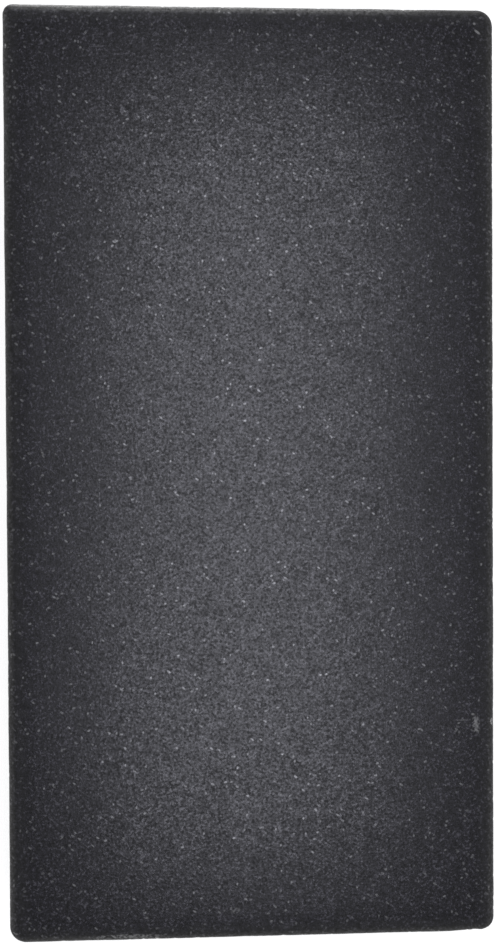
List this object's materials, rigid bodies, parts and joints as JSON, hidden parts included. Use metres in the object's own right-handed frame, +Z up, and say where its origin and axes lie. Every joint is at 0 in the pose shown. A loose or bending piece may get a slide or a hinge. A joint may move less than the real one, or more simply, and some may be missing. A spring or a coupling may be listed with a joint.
{
  "type": "massage stone",
  "caption": "Flat rectangular block of honed dark basalt with ground corners and eased arrises, warmed or cooled and then laid on or drawn over the skin.",
  "frame": {"origin": "middle of the flat lower face, which the stone rests on", "axes": "+X across the width to the right-hand long side, +Y along the length to the far end, +Z up through the thickness"},
  "size_m": [0.0684, 0.13, 0.02],
  "materials": {
    "basalt": "honed"
  },
  "bodies": {
    "root": {"basalt_slab": "basalt"}
  },
  "joints": []
}
